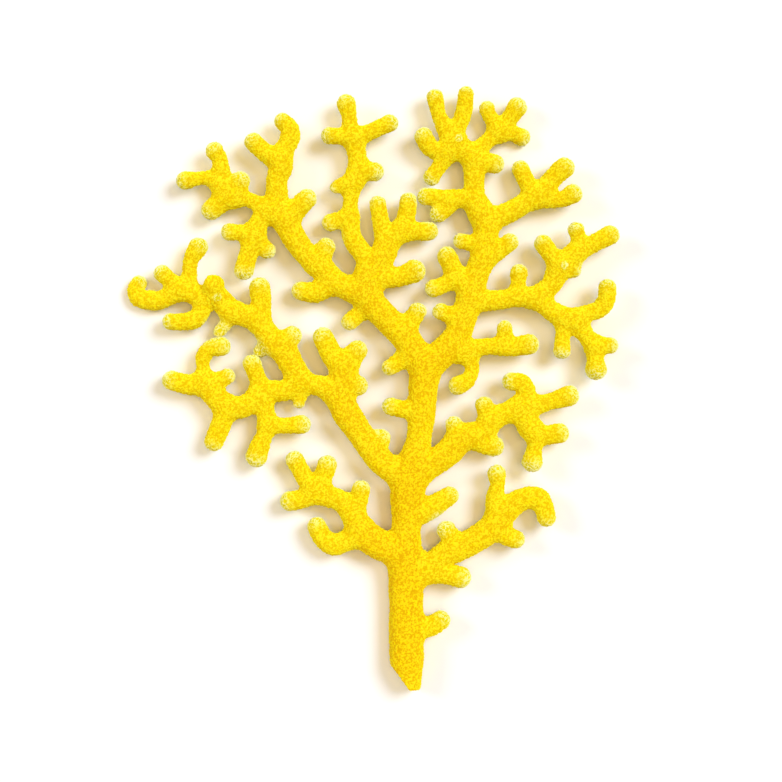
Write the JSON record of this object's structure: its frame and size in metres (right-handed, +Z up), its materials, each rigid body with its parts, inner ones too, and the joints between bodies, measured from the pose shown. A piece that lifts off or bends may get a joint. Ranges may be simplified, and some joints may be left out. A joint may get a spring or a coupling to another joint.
{
  "type": "coral specimen",
  "caption": "Flat, fan-shaped branching coral with a granular skeleton and blunt knobbly twigs, cut off at the foot of its stem and lying on its back.",
  "frame": {"origin": "middle of the coral's box across and along, on the surface that it lies on", "axes": "+X across the fan, +Y from the cut stem to the top twigs, +Z up from the surface through the fan's thickness"},
  "size_m": [0.1479, 0.1808, 0.0117],
  "materials": {
    "coral": "matt granular skeleton, warm yellow, orange at the stem and pale lemon at the tips"
  },
  "bodies": {
    "root": {"stem": "coral", "upper_left_limb": "coral", "upper_left_branch": "coral", "top_branch": "coral", "middle_branch": "coral", "right_limb": "coral", "upper_right_branch": "coral", "right_fork": "coral", "far_right_branch": "coral", "left_limb": "coral", "left_branch": "coral", "lower_left_branch": "coral", "low_left_fork": "coral", "low_right_fork": "coral", "middle_right_fork": "coral"}
  },
  "joints": []
}
